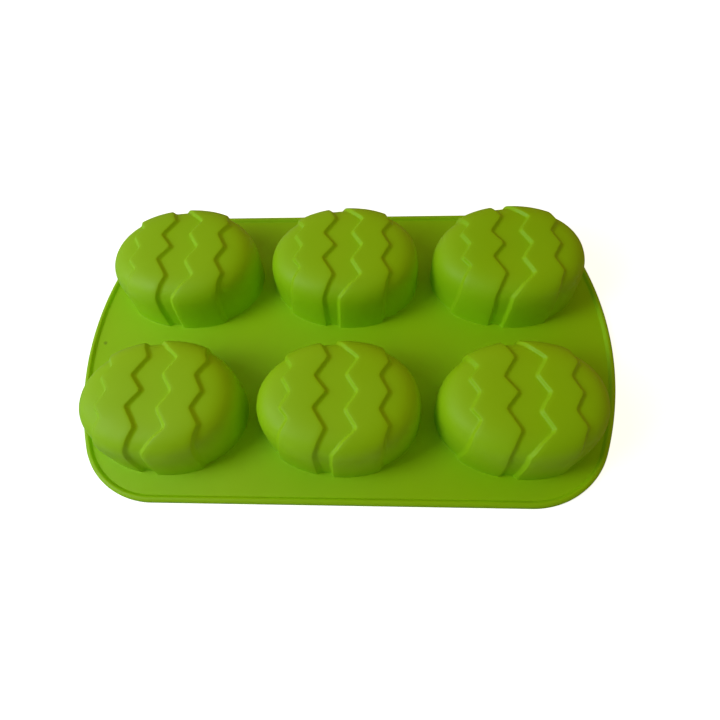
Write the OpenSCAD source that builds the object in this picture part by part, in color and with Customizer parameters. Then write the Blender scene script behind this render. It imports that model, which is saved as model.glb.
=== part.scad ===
// Silicone soap mould with six egg-shaped cups, lying with its open side down.
// X runs along the length, +Z is up and the origin is at the centre of the open face.

/* [Deck] */
// Overall length, measured between the middles of the bowed ends
mould_l = 270; // [270:1:300]
// Overall width, measured between the straight sides
mould_w = 166; // [162:1:200]
// Radius of the four corners
corner_r = 39.5; // [30:0.5:45]
// Radius of the bowed ends
end_r = 162; // [160:1:600]
// Thickness of the flat sheet
deck_t = 2; // [1.5:0.1:3]

/* [Rim] */
// Width of the bead at its foot, with the shoulder
rim_w = 3.4; // [2.4:0.1:3.4]
// Width of the bead's top
rim_top = 1.6; // [1:0.1:2]
// Height of the bead from the open face
rim_h = 3.3; // [3.2:0.1:5]
// Height of the shoulder on the bead's inner side
shoulder_h = 2.8; // [2.2:0.1:3.1]

/* [Cup layout] */
// Distance between neighbouring cups along the length
pitch_x = 84; // [83:0.5:90]
// Distance between the two rows
pitch_y = 79.5; // [66:0.5:81]
// Shift of all the cups along the length
layout_shift = -0.6; // [-0.6:0.1:0.6]

/* [Cup] */
// Length of a cup at its foot
cup_l = 77; // [70:0.2:77]
// Width of a cup at its foot, in the groove between the bands
cup_w = 57.6; // [50:0.2:60]
// How much wider the blunt end is than the narrow end
cup_taper = 0.05; // [0:0.01:0.2]
// Height of the crown above the open face, on the raised bands
cup_h = 33.6; // [20:0.2:40]
// Thickness of the silicone
wall_t = 1.8; // [1.2:0.1:2.4]
// How far the walls lean in over the height of a cup
draft = 0.002; // [0:0.001:0.06]
// Radius where the cup meets the sheet
foot_r = 0.6; // [0.4:0.1:1.2]
// Width of the flat ring moulded with each cup
flange_w = 1.6; // [1.6:0.1:2]

/* [Zigzag bands] */
// How far the bands stand out from the cup
relief = 1.6; // [0.5:0.1:1.6]
// Width of the sloping step at a band's edge
step_w = 2.2; // [0.8:0.1:2.4]

/* [Hidden] */

lime = [0.52, 0.68, 0.12];
arc_fn = 180;
cut_gap = 1;

// Centres of the corner and end arcs.
corner_y = mould_w / 2 - corner_r;
end_x = mould_l / 2 - end_r;
corner_x = end_x + sqrt(pow(end_r - corner_r, 2) - pow(corner_y, 2));

// Plan of a cup: a superellipse, wider towards +X.
outline_n = 2.07;
half_l = cup_l / 2;
half_w = cup_w / 2;

// Profile of a cup: squarer at the blunt end than at the narrow end, with a gently crowned top.
profile_across = 6;
profile_narrow = 5;
profile_blunt = 6.5;
crown_fall = 0.04;
dome_h = cup_h - deck_t - relief;
mouth_r = 0.8;

// Band edges, from the narrow end to the blunt end. Each gives the distance from the
// cup's centre along X at the points towards the blunt end, at the points towards the
// narrow end, at the shoulder and at the foot, then how far out the two sorts of
// points lie, as shares of the half width.
band_edges = [
    [-20.4, -24.6, -24.5, -28, 0.51, 0.33],
    [-3.3, -9.2, -7.2, -8.5, 0.6, 0.275],
    [10, 4.7, 0.9, -2.6, 0.6, 0.29],
    [24.4, 20.2, 21.8, 20, 0.635, 0.31]
];

// Rows of the shell's mesh, from the crown's centre line to the foot.
shoulder_share = 0.87;
crown_rows = 6;
wall_depth = [0.12, 0.04, 0.006, 0];
half_rows = crown_rows + len(wall_depth);
last_row = 2 * half_rows;

// Columns between the end caps: first edge, second edge, blend, side of the step, raised.
middle_columns = [
    [0, 0, 0, -0.5, 0], [0, 0, 0, 0.5, 1],
    [0, 1, 0.5, 0, 1],
    [1, 1, 0, -0.5, 1], [1, 1, 0, 0.5, 0],
    [2, 2, 0, -0.5, 0], [2, 2, 0, 0.5, 1],
    [2, 3, 0.35, 0, 1], [2, 3, 0.7, 0, 1],
    [3, 3, 0, -0.5, 1], [3, 3, 0, 0.5, 0]
];
first_middle = 4;
last_middle = first_middle + len(middle_columns) - 1;
last_column = last_middle + first_middle;

// End caps: depth and turn of each ring, from the foot inwards, and half the angle
// that the outermost ring spans at the narrow end and at the blunt end.
cap_depth = [0, 0.02, 0.15, 0.5];
cap_turn = [0, 0.2, 0.45, 0.7];
narrow_arc = 26;
blunt_arc = 40;

function mix(a, b, f) = a + (b - a) * f;
function sgn_pow(v, e) = sign(v) * pow(abs(v), e);

// Where row k crosses band edge e: the distance along X, and the distance across as a
// share of the cup's half width there.
function edge_x(e, k) =
    let (b = band_edges[e])
    lookup(k, [[0, b[0]], [2, b[1]], [4, b[0]], [crown_rows, b[2]], [half_rows, b[3]]]);
function edge_share(e, k) =
    let (b = band_edges[e])
    k <= crown_rows
    ? lookup(k, [[0, 0], [2, b[5]], [4, b[4]], [crown_rows, shoulder_share]])
    : pow(1 - wall_depth[k - crown_rows - 1], 1 / outline_n);

// Plan points are [u, w]: each runs from -1 to 1 over the cup's length and width.
function depth(p) = 1 - pow(abs(p[0]), outline_n) - pow(abs(p[1]), outline_n);
function bearing(p) = atan2(sgn_pow(p[1], outline_n / 2), sgn_pow(p[0], outline_n / 2));
function on_ring(a, d) =
    let (s = pow(1 - d, 1 / outline_n))
    [s * sgn_pow(cos(a), 2 / outline_n), s * sgn_pow(sin(a), 2 / outline_n)];

function middle_point(c, j) =
    let (
        m = middle_columns[c],
        k = abs(j - half_rows),
        x = mix(edge_x(m[0], k), edge_x(m[1], k), m[2]) + m[3] * step_w,
        u = x / half_l,
        t = sign(j - half_rows) * mix(edge_share(m[0], k), edge_share(m[1], k), m[2])
    )
    [u, t * pow(1 - pow(abs(u), outline_n), 1 / outline_n)];

function turned(a) = a < 0 ? a + 360 : a;
function left_point(i, j) =
    let (
        edge = middle_point(0, j),
        arc = mix(180 + narrow_arc, 180 - narrow_arc, j / last_row),
        a = mix(arc, turned(bearing(edge)), cap_turn[i])
    )
    on_ring(a, depth(edge) * cap_depth[i]);

function right_point(i, j) =
    let (
        edge = middle_point(len(middle_columns) - 1, j),
        a = mix(mix(-blunt_arc, blunt_arc, j / last_row), bearing(edge), cap_turn[i])
    )
    on_ring(a, depth(edge) * cap_depth[i]);

function plan_point(i, j) =
    i < first_middle ? left_point(i, j)
    : i > last_middle ? right_point(last_column - i, j)
    : middle_point(i - first_middle, j);

function raised(i) =
    i < first_middle || i > last_middle ? 0 : middle_columns[i - first_middle][4] * relief;

// The point of the smooth cup over a plan point, moved out by d along the surface's normal.
function cup_point(p, d) =
    let (
        s = pow(max(0, 1 - depth(p)), 1 / outline_n),
        along = s > 0 ? pow(p[0], 2) / (pow(p[0], 2) + pow(p[1], 2)) : 0,
        e = mix(profile_across, p[0] < 0 ? profile_narrow : profile_blunt, along),
        g = pow(max(0, 1 - pow(s, e)), 1 / e),
        lean = 1 - draft * g,
        w_here = half_w * (1 + cup_taper * p[0]),
        n = [
            pow(s, e - outline_n) * sgn_pow(p[0], outline_n - 1) / half_l,
            pow(s, e - outline_n) * sgn_pow(p[1], outline_n - 1) / w_here,
            pow(g, e - 1) / dome_h
        ]
    )
    [half_l * p[0] * lean, w_here * p[1] * lean, dome_h * g * (1 - crown_fall * s * s)]
    + n * d / norm(n);

function on_border(i, j) = i == 0 || i == last_column || j == 0 || j == last_row;
function skin_point(i, j, d) =
    cup_point(plan_point(i, j), raised(i) + d) + [0, 0, deck_t + (on_border(i, j) ? foot_r : 0)];
function skin(d) = [for (i = [0:last_column], j = [0:last_row]) skin_point(i, j, d)];

// The border of the mesh as [column, row] pairs, anticlockwise from above.
border = concat(
    [for (i = [0:last_column - 1]) [i, 0]],
    [for (j = [0:last_row - 1]) [last_column, j]],
    [for (i = [last_column:-1:1]) [i, last_row]],
    [for (j = [last_row:-1:1]) [0, j]]
);
function border_point(b, d, z) =
    let (q = cup_point(plan_point(b[0], b[1]), d)) [q[0], q[1], z];
function ring(d, z) = [for (b = border) border_point(b, raised(b[0]) + d, z)];

// Rings from the outer skin's foot, round the fillet and flange, to the inner skin's foot.
cove = foot_r * (1 - cos(45));
rings = [
    ring(cove, deck_t + cove),
    ring(foot_r, deck_t),
    ring(flange_w, deck_t),
    ring(flange_w, 0),
    ring(mouth_r - wall_t, 0),
    ring(-wall_t, mouth_r)
];
flange_outline = [for (p = rings[3]) [p[0], p[1]]];

skin_size = (last_column + 1) * (last_row + 1);
function skin_index(i, j) = i * (last_row + 1) + j;
function two_faces(a, b, c, d) = [[a, b, c], [a, c, d]];
function skin_faces(start, out) = [
    for (i = [0:last_column - 1], j = [0:last_row - 1])
        let (
            a = start + skin_index(i, j), b = start + skin_index(i, j + 1),
            c = start + skin_index(i + 1, j + 1), d = start + skin_index(i + 1, j)
        )
        each out ? two_faces(a, b, c, d) : two_faces(d, c, b, a)
];
function strip_faces(upper, lower) = [
    for (k = [0:len(border) - 1])
        let (next = (k + 1) % len(border))
        each two_faces(upper[k], upper[next], lower[next], lower[k])
];
function ring_index(r) = [for (k = [0:len(border) - 1]) 2 * skin_size + r * len(border) + k];

outer_foot = [for (b = border) skin_index(b[0], b[1])];
inner_foot = [for (b = border) skin_size + skin_index(b[0], b[1])];
loops = concat(
    [outer_foot],
    [for (r = [0:len(rings) - 1]) ring_index(r)],
    [inner_foot]
);

cup_points = concat(skin(0), skin(-wall_t), [for (r = rings) each r]);
cup_faces = concat(
    skin_faces(0, true),
    skin_faces(skin_size, false),
    [for (k = [0:len(loops) - 2]) each strip_faces(loops[k], loops[k + 1])]
);

function cup_place(column, row) =
    [layout_shift + (column - 1) * pitch_x, (row - 0.5) * pitch_y, 0];

// One egg-shaped cup with its zigzag bands and its flat ring.
module egg_cup(column, row) {
    color(lime) translate(cup_place(column, row))
        polyhedron(points = cup_points, faces = cup_faces, convexity = 6);
}

// Outline with straight sides, bowed ends and round corners, moved in by inset.
module outline(inset) {
    reach = 2 * (corner_x - end_x);
    for (side = [0, 180]) rotate(side) {
        for (y = [-corner_y, corner_y])
            translate([corner_x, y]) circle(r = corner_r - inset, $fn = arc_fn);
        intersection() {
            translate([end_x, 0]) circle(r = end_r - inset, $fn = arc_fn);
            polygon([
                [end_x, 0],
                [end_x + reach, -2 * corner_y],
                [end_x + reach, 2 * corner_y]
            ]);
        }
    }
    square([2 * corner_x, mould_w - 2 * inset], center = true);
}

// Flat sheet that joins the cups.
module deck() {
    color(lime) difference() {
        linear_extrude(deck_t) outline(rim_w);
        for (column = [0:2], row = [0:1])
            translate(cup_place(column, row) - [0, 0, cut_gap])
                linear_extrude(deck_t + 2 * cut_gap) polygon(flange_outline);
    }
}

// Ring along the outline, from the outer edge inwards.
module edge_ring(width, height) {
    linear_extrude(height) difference() {
        outline(0);
        outline(width);
    }
}

// Raised bead round the edge of the sheet, with a lower shoulder on its inner side.
module rim() {
    color(lime) {
        edge_ring(rim_top, rim_h);
        edge_ring(rim_w, shoulder_h);
    }
}

module egg_cup_back_left() { egg_cup(0, 1); }
module egg_cup_back_middle() { egg_cup(1, 1); }
module egg_cup_back_right() { egg_cup(2, 1); }
module egg_cup_front_left() { egg_cup(0, 0); }
module egg_cup_front_middle() { egg_cup(1, 0); }
module egg_cup_front_right() { egg_cup(2, 0); }

deck();
rim();
egg_cup_back_left();
egg_cup_back_middle();
egg_cup_back_right();
egg_cup_front_left();
egg_cup_front_middle();
egg_cup_front_right();
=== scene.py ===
"""Looks of the lime-green silicone soap mould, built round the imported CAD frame.

All the shape code works in millimetres in the frame's own axes, and mesh_object() turns it into metres.
"""

import math

import bmesh
import bpy
import numpy as np
from mathutils import Matrix, Vector


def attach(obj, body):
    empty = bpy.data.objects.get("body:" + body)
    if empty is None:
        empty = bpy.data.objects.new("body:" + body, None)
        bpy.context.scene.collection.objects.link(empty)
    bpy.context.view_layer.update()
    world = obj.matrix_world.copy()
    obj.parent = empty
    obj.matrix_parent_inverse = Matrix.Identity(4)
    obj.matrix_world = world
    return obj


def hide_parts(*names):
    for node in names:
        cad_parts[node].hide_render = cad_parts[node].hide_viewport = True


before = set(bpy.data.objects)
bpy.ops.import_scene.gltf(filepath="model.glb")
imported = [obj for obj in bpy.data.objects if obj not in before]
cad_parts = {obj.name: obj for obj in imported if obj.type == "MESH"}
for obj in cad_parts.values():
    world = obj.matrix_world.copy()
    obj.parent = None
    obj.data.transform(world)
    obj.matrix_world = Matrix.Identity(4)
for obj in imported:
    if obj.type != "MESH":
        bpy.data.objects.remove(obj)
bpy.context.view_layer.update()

MM = 0.001

# Sheet and rim
MOULD_L, MOULD_W = 270.0, 166.0
CORNER_R, END_R = 39.5, 162.0
DECK_T, RIM_W, RIM_TOP, RIM_H = 2.0, 3.4, 1.6, 3.3

# Layout of the cups
PITCH_X, PITCH_Y, LAYOUT_SHIFT = 84.0, 79.5, -0.6
COLUMN_NAMES = ("left", "middle", "right")
ROW_NAMES = ("front", "back")

# One cup: a superellipse in plan, wider towards +X. Its section is squarest towards the blunt end,
# less so across, and softest towards the narrow end.
HALF_L, HALF_W, TAPER, OUTLINE_N = 38.5, 28.8, 0.05, 2.07
ACROSS_N, NARROW_N, BLUNT_N, CROWN_FALL = 6.0, 5.0, 6.5, 0.04
CUP_H, WALL_T, DRAFT = 33.6, 1.8, 0.002
FOOT_R, MOUTH_R, FLANGE_W = 0.3, 0.8, 1.6

# Zigzag bands
RELIEF = 1.6
DOME_H = CUP_H - DECK_T - RELIEF
# For each band edge: the share of the half width at which the points towards the narrow end and
# towards the blunt end lie, then X at the points towards the blunt end, at the points towards the
# narrow end, on the way to the shoulder, at the shoulder and at the foot.
BAND_EDGES = (
    (0.33, 0.51, -20.4, -24.6, -23.6, -25.0, -28.0),
    (0.275, 0.6, -3.3, -9.2, -5.6, -8.1, -8.5),
    (0.29, 0.6, 10.0, 4.7, 4.3, -1.0, -2.6),
    (0.31, 0.635, 24.4, 20.2, 22.8, 21.2, 20.0),
)
# Each step is hollow at its foot and crisp at its top, and steepest at this share of its width.
STEP_W = (2.4, 3.2, 2.4, 3.2)
STEP_HOLLOW, STEP_STEEPEST = 1.5, 0.62
CORNER_SOFTNESS = 0.7

# Camera: elevation, azimuth and roll in degrees, place in mm, focal length in mm
CAMERA_TURN = (63.82, 7.65, -6.76)
CAMERA_PLACE = (25.5, -139.0, 268.1)
CAMERA_LENS = 29.02

# Silicone colour and the small mark on the sheet near its left edge (place in mm, the rest in metres)
SILICONE_DEEP, SILICONE_LIGHT = (0.41, 0.74, 0.002), (0.44, 0.77, 0.004)
MARK_PLACE = (-127.8, 0.4, 2.0)
MARK_COLOR, MARK_STRENGTH = (0.03, 0.07, 0.001), 0.45
MARK_CORE, MARK_RIM, MARK_RAGGED = 0.0009, 0.0018, 0.001
DUST_COLOR, DUST_START, DUST_FULL, DUST_MOST = (0.62, 0.80, 0.12), 0.70, 0.76, 0.25
SMOOTHEST, ROUGHEST, SPECULAR = 0.46, 0.6, 0.3
# Noise of each layer: scale, detail and, where it isn't even, roughness
CLOUD_NOISE, DUST_NOISE, MARK_NOISE, SHEEN_NOISE = (22, 3), (700, 3, 0.7), (900, 2), (60, 2)
# Bumps: noise, strength and height in metres
BROAD_BUMP, FINE_BUMP = ((95, 2), 0.5, 0.00025), ((2600, 2), 0.35, 0.00004)

# Lights: name, bearing and elevation in degrees, power in watts
DAYLIGHT = (0.905, 1.0, 0.92)
LIGHTS = (
    ("key_high", 190, 50, 1.28),
    ("key_low", 200, 35, 1.84),
    ("window", 180, 20, 0.71),
)
LIGHT_SIZE, LIGHT_REACH = 0.4, 0.95
FLOOR_SIZE, FLOOR_SHADE, FLOOR_ROUGHNESS, FLOOR_GLOW = 10.0, 0.9, 0.9, 0.86
# Soft surround: the colour that comes in from each direction, fading towards the others
SURROUND = (
    ((-1, 0, 0), (0.02, 0.03, 0.35)),
    ((1, 0, 0), (0.18, 0.05, 0.0)),
    ((0, -1, 0), (0.0, 0.05, 0.0)),
    ((0, 1, 0), (0.28, 0.13, 0.02)),
    ((0, 0, 1), (0.18, 0.195, 0.01)),
)

BACKDROP_RADIUS, BACKDROP_COLOR = 4.0, (0.97, 0.97, 0.96)

# Mesh density
HALF_ROWS, CAP_RINGS, STEP_COLUMNS, FILL_COLUMNS = 64, 26, 13, (7, 3, 7)
NARROW_ARC, BLUNT_ARC = 26.0, 40.0
CURVE_SAMPLES, OUTLINE_STEP, SHARP_DEGREES = 4001, 1.2, 50
FOOT_TURNS, MOUTH_TURNS = (15, 30, 45, 60, 75, 90), (0, 22, 45, 68, 90)
# Powers in the parameters of the rows down the wall and of the turn and depth of the cap columns
WALL_CROWDING, CAP_TURN_N, CAP_DEPTH_N = 6, 1.5, 4.5
# Shares of the half width where a band edge is given on its way to the foot
MIDWAY, SHOULDER = 0.76, 0.93
# Softening of the zigzag's corners: sample spacing and margin in mm, and reach in samples
SOFTEN_STEP, SOFTEN_MARGIN, SOFTEN_REACH = 0.1, 10, 40
# Bead: cut at its outer foot, the cut's middle, the slope's power, and points on its round and slope
RIM_CUT, RIM_CUT_MID, RIM_SLOPE_N, RIM_ROUND_POINTS, RIM_SLOPE_POINTS = 0.4, 0.1, 1.5, 8, 12


def signed_power(v, e):
    return np.sign(v) * np.abs(v) ** e


def smooth(x):
    x = np.clip(x, 0, 1)
    return x * x * (3 - 2 * x)


def cup_point(u, w, out):
    """Points over plan position u, w (-1 to 1), moved out along the smooth cup's normal."""
    s = (np.abs(u) ** OUTLINE_N + np.abs(w) ** OUTLINE_N) ** (1 / OUTLINE_N)
    s = np.clip(s, 0, 1)
    flat = u * u + w * w
    along = np.where(flat > 0, u * u / np.maximum(flat, 1e-12), 0)
    e = ACROSS_N + (np.where(u < 0, NARROW_N, BLUNT_N) - ACROSS_N) * along
    g = np.maximum(0, 1 - s ** e) ** (1 / e)
    lean = 1 - DRAFT * g
    half_w = HALF_W * (1 + TAPER * u)
    n = np.stack([
        s ** (e - OUTLINE_N) * signed_power(u, OUTLINE_N - 1) / HALF_L,
        s ** (e - OUTLINE_N) * signed_power(w, OUTLINE_N - 1) / half_w,
        g ** (e - 1) / DOME_H,
    ], -1)
    n /= np.linalg.norm(n, axis=-1, keepdims=True)
    height = DOME_H * g * (1 - CROWN_FALL * s * s)
    base = np.stack([HALF_L * u * lean, half_w * w * lean, height], -1)
    return base + n * np.asarray(out)[..., None]


def even_steps(curve, count):
    """Parameters from 0 to 1 that cut curve(q) into equal lengths."""
    q = np.linspace(0, 1, CURVE_SAMPLES)
    p = curve(q)
    run = np.concatenate([[0], np.cumsum(np.linalg.norm(np.diff(p, axis=0), axis=1))])
    return np.interp(np.linspace(0, run[-1], count), run, q)


def wall_share(q):
    """Row share across the cup for q from 0 at the centre line to 1 at the foot."""
    return (1 - (1 - q) ** WALL_CROWDING) ** (1 / OUTLINE_N)


def centre_profile(q):
    t = wall_share(q)
    return cup_point(np.zeros_like(t), t, np.zeros_like(t))


ROW_Q = even_steps(centre_profile, HALF_ROWS + 1)
ROW_T = wall_share(ROW_Q)
ROW_Q, ROW_T = (np.concatenate([sign * v[:0:-1], v]) for sign, v in ((1, ROW_Q), (-1, ROW_T)))
ROWS = len(ROW_T)


def edge_line(edge):
    """X of a band edge on every row, with its zigzag's corners softened."""
    near, far, a, b, c, d, e = edge
    q = np.linspace(0, 1, CURVE_SAMPLES)
    profile = centre_profile(q)
    run = np.concatenate([[0], np.cumsum(np.linalg.norm(np.diff(profile, axis=0), axis=1))])
    knots = np.interp((0, near, far, MIDWAY, SHOULDER, 1), wall_share(q), run)
    fine = np.arange(-run[-1] - SOFTEN_MARGIN, run[-1] + SOFTEN_MARGIN, SOFTEN_STEP)
    x = np.interp(np.abs(fine), knots, (a, b, a, c, d, e))
    k = np.arange(-SOFTEN_REACH, SOFTEN_REACH + 1) * SOFTEN_STEP
    kernel = np.exp(-0.5 * (k / CORNER_SOFTNESS) ** 2)
    padded = np.pad(x, SOFTEN_REACH, mode="edge")
    x = np.convolve(padded, kernel / kernel.sum(), mode="valid")
    here = np.sign(ROW_T) * np.interp(ROW_Q, q, run)
    return np.interp(here, fine, x)


def middle_columns():
    """X and raised share of every column between the end caps."""
    lines = [edge_line(e) for e in BAND_EDGES]
    low, high = STEP_STEEPEST, 1 - STEP_STEEPEST
    step_sides = [(-a * w, b * w) for w, (a, b) in zip(STEP_W, ((low, high), (high, low)) * 2)]
    xs, raised = [], []
    for k, line in enumerate(lines):
        rising = k % 2 == 0
        start, end = step_sides[k]
        for f in np.linspace(0, 1, STEP_COLUMNS):
            xs.append(line + start + (end - start) * f)
            raised.append(smooth((f if rising else 1 - f) ** STEP_HOLLOW))
        if k < 3:
            a, b = line + end, lines[k + 1] + step_sides[k + 1][0]
            for f in np.linspace(0, 1, FILL_COLUMNS[k] + 2)[1:-1]:
                xs.append(a + (b - a) * f)
                raised.append(1.0 if rising else 0.0)
    return np.array(xs), np.array(raised)


def plan_depth(u, w):
    return 1 - np.abs(u) ** OUTLINE_N - np.abs(w) ** OUTLINE_N


def bearing(u, w):
    return np.arctan2(signed_power(w, OUTLINE_N / 2), signed_power(u, OUTLINE_N / 2))


def cap_columns(u, w, middle, half_arc):
    """Rings from the outline in to one band edge, at the end whose middle bearing is given."""
    turn = lambda a: (a - middle + math.pi) % (2 * math.pi) - math.pi
    side = 1 if middle == 0 else -1
    depth, edge = plan_depth(u, w), turn(bearing(u, w))
    arc = side * math.radians(half_arc) * np.linspace(-1, 1, ROWS)

    def at(q, rows=slice(None)):
        share, d = 1 - (1 - q) ** CAP_TURN_N, depth[rows] * q ** CAP_DEPTH_N
        a = middle + arc[rows] + (edge[rows] - arc[rows]) * share
        s = (1 - d) ** (1 / OUTLINE_N)
        return tuple(s * signed_power(f(a), 2 / OUTLINE_N) for f in (np.cos, np.sin))

    centre = lambda q: cup_point(*at(q, HALF_ROWS), np.zeros_like(q))
    steps = even_steps(centre, CAP_RINGS + 1)[:-1]
    us, ws = zip(*(at(q) for q in steps))
    return np.array(us), np.array(ws)


def cup_plan():
    """u, w and raised share of the whole grid, [column, row]."""
    x, raised = middle_columns()
    u = x / HALF_L
    w = ROW_T * (1 - np.abs(u) ** OUTLINE_N) ** (1 / OUTLINE_N)
    raised = np.repeat(raised[:, None], ROWS, 1)
    lu, lw = cap_columns(u[0], w[0], math.pi, NARROW_ARC)
    ru, rw = cap_columns(u[-1], w[-1], 0, BLUNT_ARC)
    flat = np.zeros_like(lu)
    return (np.concatenate([lu, u, ru[::-1]]), np.concatenate([lw, w, rw[::-1]]),
            np.concatenate([flat, raised, flat]))


def border_index(columns):
    i = np.arange(columns * ROWS).reshape(columns, ROWS)
    return np.concatenate([i[:-1, 0], i[-1, :-1], i[:0:-1, -1], i[0, :0:-1]])


def cup_mesh():
    """Vertices and faces of one closed cup, centred on its own place."""
    u, w, raised = cup_plan()
    columns = u.shape[0]
    index = np.arange(columns * ROWS).reshape(columns, ROWS)
    border = border_index(columns)
    on_border = np.zeros(columns * ROWS, bool)
    on_border[border] = True
    lift = DECK_T + FOOT_R * on_border.reshape(columns, ROWS)

    def skin(out):
        p = cup_point(u, w, raised * RELIEF + out)
        p[..., 2] += lift
        return p.reshape(-1, 3)

    bu, bw, br = (v.reshape(-1)[border] for v in (u, w, raised))

    def ring(out, z):
        p = cup_point(bu, bw, br * RELIEF + out)
        p[:, 2] = z
        return p

    loops = [ring(FOOT_R * (1 - math.cos(a)), DECK_T + FOOT_R * (1 - math.sin(a)))
             for a in np.radians(FOOT_TURNS)]
    loops += [ring(FLANGE_W, DECK_T), ring(FLANGE_W, 0)]
    loops += [ring(MOUTH_R * math.cos(a) - WALL_T, MOUTH_R * (1 - math.cos(math.pi / 2 - a)))
              for a in np.radians(MOUTH_TURNS)]
    size = columns * ROWS
    verts = np.concatenate([skin(0), skin(-WALL_T)] + loops)
    a, b, c, d = index[:-1, :-1], index[:-1, 1:], index[1:, 1:], index[1:, :-1]
    outer = np.stack([d, c, b, a], -1).reshape(-1, 4)
    inner = np.stack([a, b, c, d], -1).reshape(-1, 4) + size
    faces = [outer, inner]
    around = 2 * size + np.arange(len(border))
    chain = [border] + [around + k * len(border) for k in range(len(loops))] + [border + size]
    for top, low in zip(chain[:-1], chain[1:]):
        faces.append(np.stack([top, low, np.roll(low, -1), np.roll(top, -1)], -1))
    flange = ring(FLANGE_W, 0)[:, :2]
    return verts, np.concatenate(faces), flange


def outline(inset):
    """The sheet's outline as an anticlockwise loop: straight sides, bowed ends, round corners."""
    corner_y = MOULD_W / 2 - CORNER_R
    end_x = MOULD_L / 2 - END_R
    corner_x = end_x + math.sqrt((END_R - CORNER_R) ** 2 - corner_y ** 2)
    meet = math.asin(corner_y / (END_R - CORNER_R))
    quarter = []

    def arc(cx, cy, r, a0, a1):
        count = max(2, int(abs(a1 - a0) * r / OUTLINE_STEP))
        for a in np.linspace(a0, a1, count, endpoint=False):
            quarter.append((cx + (r - inset) * math.cos(a), cy + (r - inset) * math.sin(a)))

    arc(end_x, 0, END_R, 0, meet)
    arc(corner_x, corner_y, CORNER_R, meet, math.pi / 2)
    side = np.linspace(corner_x, 0, int(corner_x / OUTLINE_STEP), endpoint=False)
    quarter += [(x, MOULD_W / 2 - inset) for x in side] + [(0, MOULD_W / 2 - inset)]
    q = np.array(quarter)
    left = q[-2::-1] * (-1, 1)
    upper = np.concatenate([q, left])
    lower = upper[-2:0:-1] * (1, -1)
    return np.concatenate([upper, lower])


def mesh_object(name, verts, faces):
    """A mesh object in metres from millimetre vertices."""
    mesh = bpy.data.meshes.new(name)
    mesh.from_pydata((np.asarray(verts) * MM).tolist(), [], np.asarray(faces).tolist())
    mesh.update()
    mesh.shade_smooth()
    mesh.set_sharp_from_angle(angle=math.radians(SHARP_DEGREES))
    made = bpy.data.objects.new(name, mesh)
    bpy.context.scene.collection.objects.link(made)
    return made


def place_piece(piece, *nodes):
    piece.data.materials.append(silicone)
    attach(piece, "root")
    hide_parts(*nodes)


def cup_place(column, row):
    return np.array([LAYOUT_SHIFT + (column - 1) * PITCH_X, (row - 0.5) * PITCH_Y, 0.0])


def make_cups():
    verts, faces, flange = cup_mesh()
    for row in (0, 1):
        for column in (0, 1, 2):
            node = f"egg_cup_{ROW_NAMES[row]}_{COLUMN_NAMES[column]}"
            cup = mesh_object("soft_" + node, verts + cup_place(column, row), faces)
            place_piece(cup, node)
    return flange


def make_deck(flange):
    """The flat sheet with its six egg-shaped openings."""
    bm = bmesh.new()
    loops = [outline(RIM_W)]
    loops += [flange + cup_place(c, r)[:2] for c in range(3) for r in range(2)]
    for loop in loops:
        ring = [bm.verts.new((x * MM, y * MM, DECK_T * MM)) for x, y in loop]
        for a, b in zip(ring, ring[1:] + ring[:1]):
            bm.edges.new((a, b))
    bmesh.ops.triangle_fill(bm, use_beauty=True, edges=bm.edges[:], normal=(0, 0, 1))
    top = bm.faces[:]
    for face in top:
        if face.normal.z < 0:
            face.normal_flip()
    low = bmesh.ops.extrude_face_region(bm, geom=top)
    for v in (g for g in low["geom"] if isinstance(g, bmesh.types.BMVert)):
        v.co.z = 0
    bmesh.ops.recalc_face_normals(bm, faces=bm.faces[:])
    mesh = bpy.data.meshes.new("soft_deck")
    bm.to_mesh(mesh)
    bm.free()
    deck = bpy.data.objects.new("soft_deck", mesh)
    bpy.context.scene.collection.objects.link(deck)
    place_piece(deck, "deck")


def make_rim():
    """The bead, round outside and sloping in to the sheet, swept round the sheet's outline."""
    turn = np.radians(np.linspace(0, 90, RIM_ROUND_POINTS))
    section = [(RIM_W, 0), (RIM_CUT, 0), (RIM_CUT_MID, RIM_CUT_MID), (0, RIM_CUT)]
    section += list(zip(RIM_TOP * (1 - np.cos(turn)), RIM_H - RIM_TOP * (1 - np.sin(turn))))
    across = np.linspace(0, 1, RIM_SLOPE_POINTS)[1:]
    section += list(zip(RIM_TOP + (RIM_W - RIM_TOP) * across,
                        RIM_H - (RIM_H - DECK_T) * smooth(across ** RIM_SLOPE_N)))
    count = len(outline(0))
    rings = [np.column_stack([outline(inset), np.full(count, z)]) for inset, z in section]
    verts = np.concatenate(rings)
    around = np.arange(count)
    ahead = np.roll(around, -1)
    faces = []
    for k in range(len(rings)):
        a, b = k * count, (k + 1) % len(rings) * count
        faces.append(np.stack([a + around, b + around, b + ahead, a + ahead], -1))
    rim = mesh_object("soft_rim", verts, np.concatenate(faces))
    place_piece(rim, "rim")


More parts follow.
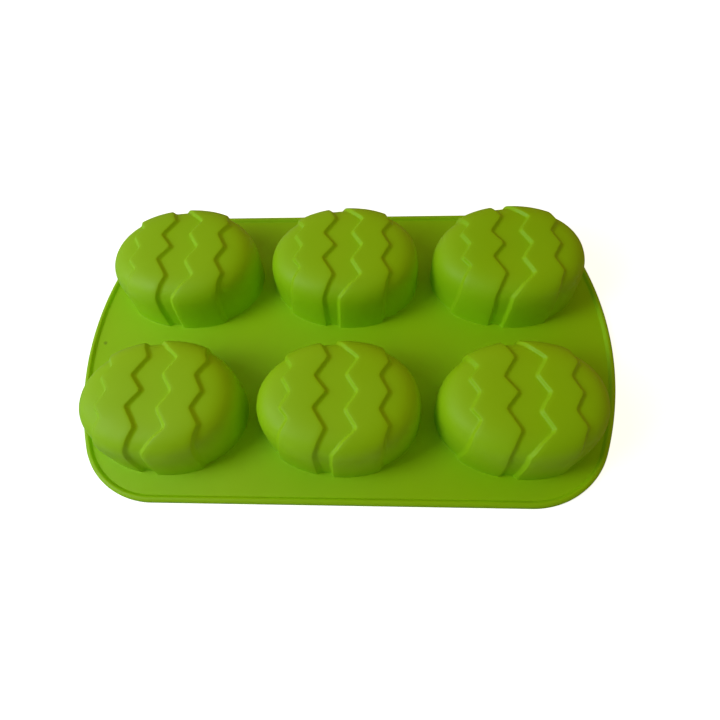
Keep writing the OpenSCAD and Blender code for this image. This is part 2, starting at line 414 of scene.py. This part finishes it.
def make_silicone():
    """Matte lime silicone: faint cloudy colour, a fine skin, dust and one small mark."""
    m = bpy.data.materials.new("lime_silicone")
    m.use_nodes = True
    nodes, link = m.node_tree.nodes, m.node_tree.links.new
    shader = nodes["Principled BSDF"]
    place = nodes.new("ShaderNodeTexCoord").outputs["Object"]

    def noise(scale, detail=2.0, roughness=0.5):
        n = nodes.new("ShaderNodeTexNoise")
        n.inputs["Scale"].default_value = scale
        n.inputs["Detail"].default_value = detail
        n.inputs["Roughness"].default_value = roughness
        link(place, n.inputs["Vector"])
        return n.outputs["Fac"]

    def ramp(fac, *stops):
        r = nodes.new("ShaderNodeValToRGB")
        elements = r.color_ramp.elements
        for k, (pos, color) in enumerate(stops):
            e = elements[k] if k < len(elements) else elements.new(pos)
            e.position, e.color = pos, (*color, 1)
        link(fac, r.inputs["Fac"])
        return r.outputs["Color"]

    def spread(fac, low, high, start=0.3, end=0.7):
        r = nodes.new("ShaderNodeMapRange")
        r.inputs["From Min"].default_value, r.inputs["From Max"].default_value = start, end
        r.inputs["To Min"].default_value, r.inputs["To Max"].default_value = low, high
        link(fac, r.inputs["Value"])
        return r.outputs["Result"]

    def blend(fac, a, b):
        mix = nodes.new("ShaderNodeMix")
        mix.data_type = "RGBA"
        for value, socket in ((fac, mix.inputs["Factor"]), (a, mix.inputs[6]), (b, mix.inputs[7])):
            if isinstance(value, bpy.types.NodeSocket):
                link(value, socket)
            else:
                socket.default_value = (*value, 1)
        return mix.outputs[2]

    cloudy = ramp(noise(*CLOUD_NOISE), (0.3, SILICONE_DEEP), (0.7, SILICONE_LIGHT))
    dust = ramp(noise(*DUST_NOISE), (DUST_START, (0, 0, 0)), (DUST_FULL, (DUST_MOST,) * 3))
    color = blend(dust, cloudy, DUST_COLOR)
    mark = nodes.new("ShaderNodeVectorMath")
    mark.operation = "DISTANCE"
    mark.inputs[1].default_value = Vector(MARK_PLACE) * MM
    link(place, mark.inputs[0])
    wobble = nodes.new("ShaderNodeMath")
    wobble.operation = "MULTIPLY_ADD"
    wobble.inputs[1].default_value = MARK_RAGGED
    link(noise(*MARK_NOISE), wobble.inputs[0])
    link(mark.outputs["Value"], wobble.inputs[2])
    spot = spread(wobble.outputs["Value"], MARK_STRENGTH, 0.0, start=MARK_CORE, end=MARK_RIM)
    link(blend(spot, color, MARK_COLOR), shader.inputs["Base Color"])
    link(spread(noise(*SHEEN_NOISE), SMOOTHEST, ROUGHEST), shader.inputs["Roughness"])

    fine, broad = nodes.new("ShaderNodeBump"), nodes.new("ShaderNodeBump")
    for bump, (layer, strength, distance) in ((broad, BROAD_BUMP), (fine, FINE_BUMP)):
        bump.inputs["Strength"].default_value = strength
        bump.inputs["Distance"].default_value = distance
        link(noise(*layer), bump.inputs["Height"])
    link(broad.outputs["Normal"], fine.inputs["Normal"])
    link(fine.outputs["Normal"], shader.inputs["Normal"])
    shader.inputs["Specular IOR Level"].default_value = SPECULAR
    return m


def make_camera():
    """Camera 64 degrees above the front and slightly to the right."""
    el, az, roll = (math.radians(a) for a in CAMERA_TURN)
    back = Vector((math.sin(az) * math.cos(el), -math.cos(az) * math.cos(el), math.sin(el)))
    right = Vector((math.cos(az), math.sin(az), 0))
    up = back.cross(right)
    x_axis = right * math.cos(roll) + up * math.sin(roll)
    y_axis = -right * math.sin(roll) + up * math.cos(roll)
    data = bpy.data.cameras.new("camera")
    data.sensor_width, data.lens = 36, CAMERA_LENS
    camera = bpy.data.objects.new("camera", data)
    bpy.context.scene.collection.objects.link(camera)
    camera.matrix_world = Matrix((x_axis, y_axis, back)).transposed().to_4x4()
    camera.location = Vector(CAMERA_PLACE) * MM
    bpy.context.scene.camera = camera


def make_surround():
    """A soft surround whose colour is a sum of broad lobes, one for each direction."""
    world = bpy.data.worlds.new("surround")
    bpy.context.scene.world = world
    world.use_nodes = True
    nodes, link = world.node_tree.nodes, world.node_tree.links.new
    direction = nodes.new("ShaderNodeTexCoord").outputs["Generated"]

    def vector_math(operation, first, second, socket=1):
        n = nodes.new("ShaderNodeVectorMath")
        n.operation = operation
        for value, target in ((first, n.inputs[0]), (second, n.inputs[socket])):
            if isinstance(value, bpy.types.NodeSocket):
                link(value, target)
            else:
                target.default_value = value
        return n.outputs["Value" if operation == "DOT_PRODUCT" else "Vector"]

    total = None
    for axis, color in SURROUND:
        facing = nodes.new("ShaderNodeMath")
        facing.operation = "MAXIMUM"
        facing.inputs[1].default_value = 0
        link(vector_math("DOT_PRODUCT", direction, axis), facing.inputs[0])
        lobe = vector_math("SCALE", color, facing.outputs["Value"], "Scale")
        total = lobe if total is None else vector_math("ADD", total, lobe)
    link(total, nodes["Background"].inputs["Color"])


def make_stage():
    """A plain white floor, a pale backdrop and soft lights."""
    bpy.context.scene.view_settings.view_transform = "Standard"
    bpy.ops.mesh.primitive_plane_add(size=FLOOR_SIZE)
    floor = bpy.context.object
    floor.name = "floor"
    m = bpy.data.materials.new("floor")
    m.use_nodes = True
    shader = m.node_tree.nodes["Principled BSDF"]
    shader.inputs["Base Color"].default_value = (*[FLOOR_SHADE] * 3, 1)
    shader.inputs["Roughness"].default_value = FLOOR_ROUGHNESS
    shader.inputs["Emission Color"].default_value = (1, 1, 1, 1)
    shader.inputs["Emission Strength"].default_value = FLOOR_GLOW
    floor.data.materials.append(m)
    # The floor's own glow whitens only the floor.
    glow = bpy.data.collections.new("lit_by_floor")
    glow.objects.link(floor)
    floor.light_linking.receiver_collection = glow
    floor.visible_glossy = False
    # A pale dome that only the camera sees hides the coloured surround behind the floor.
    bpy.ops.mesh.primitive_uv_sphere_add(segments=64, ring_count=32, radius=BACKDROP_RADIUS)
    dome = bpy.context.object
    dome.name = "backdrop"
    pale = bpy.data.materials.new("backdrop")
    pale.use_nodes = True
    nodes = pale.node_tree.nodes
    glowing = nodes.new("ShaderNodeEmission")
    glowing.inputs["Color"].default_value = (*BACKDROP_COLOR, 1)
    pale.node_tree.links.new(glowing.outputs[0], nodes["Material Output"].inputs["Surface"])
    dome.data.materials.append(pale)
    dome.visible_diffuse = dome.visible_glossy = False
    dome.visible_transmission = dome.visible_shadow = False
    for name, toward, elevation, power in LIGHTS:
        a, e = math.radians(toward), math.radians(elevation)
        away = Vector((math.cos(a) * math.cos(e), math.sin(a) * math.cos(e), math.sin(e)))
        data = bpy.data.lights.new(name, "AREA")
        data.shape, data.size, data.energy, data.color = "DISK", LIGHT_SIZE, power, DAYLIGHT
        light = bpy.data.objects.new(name, data)
        bpy.context.scene.collection.objects.link(light)
        light.location = away * LIGHT_REACH
        light.rotation_euler = away.to_track_quat("Z", "Y").to_euler()


silicone = make_silicone()
make_camera()
make_stage()
make_surround()
make_rim()
make_deck(make_cups())
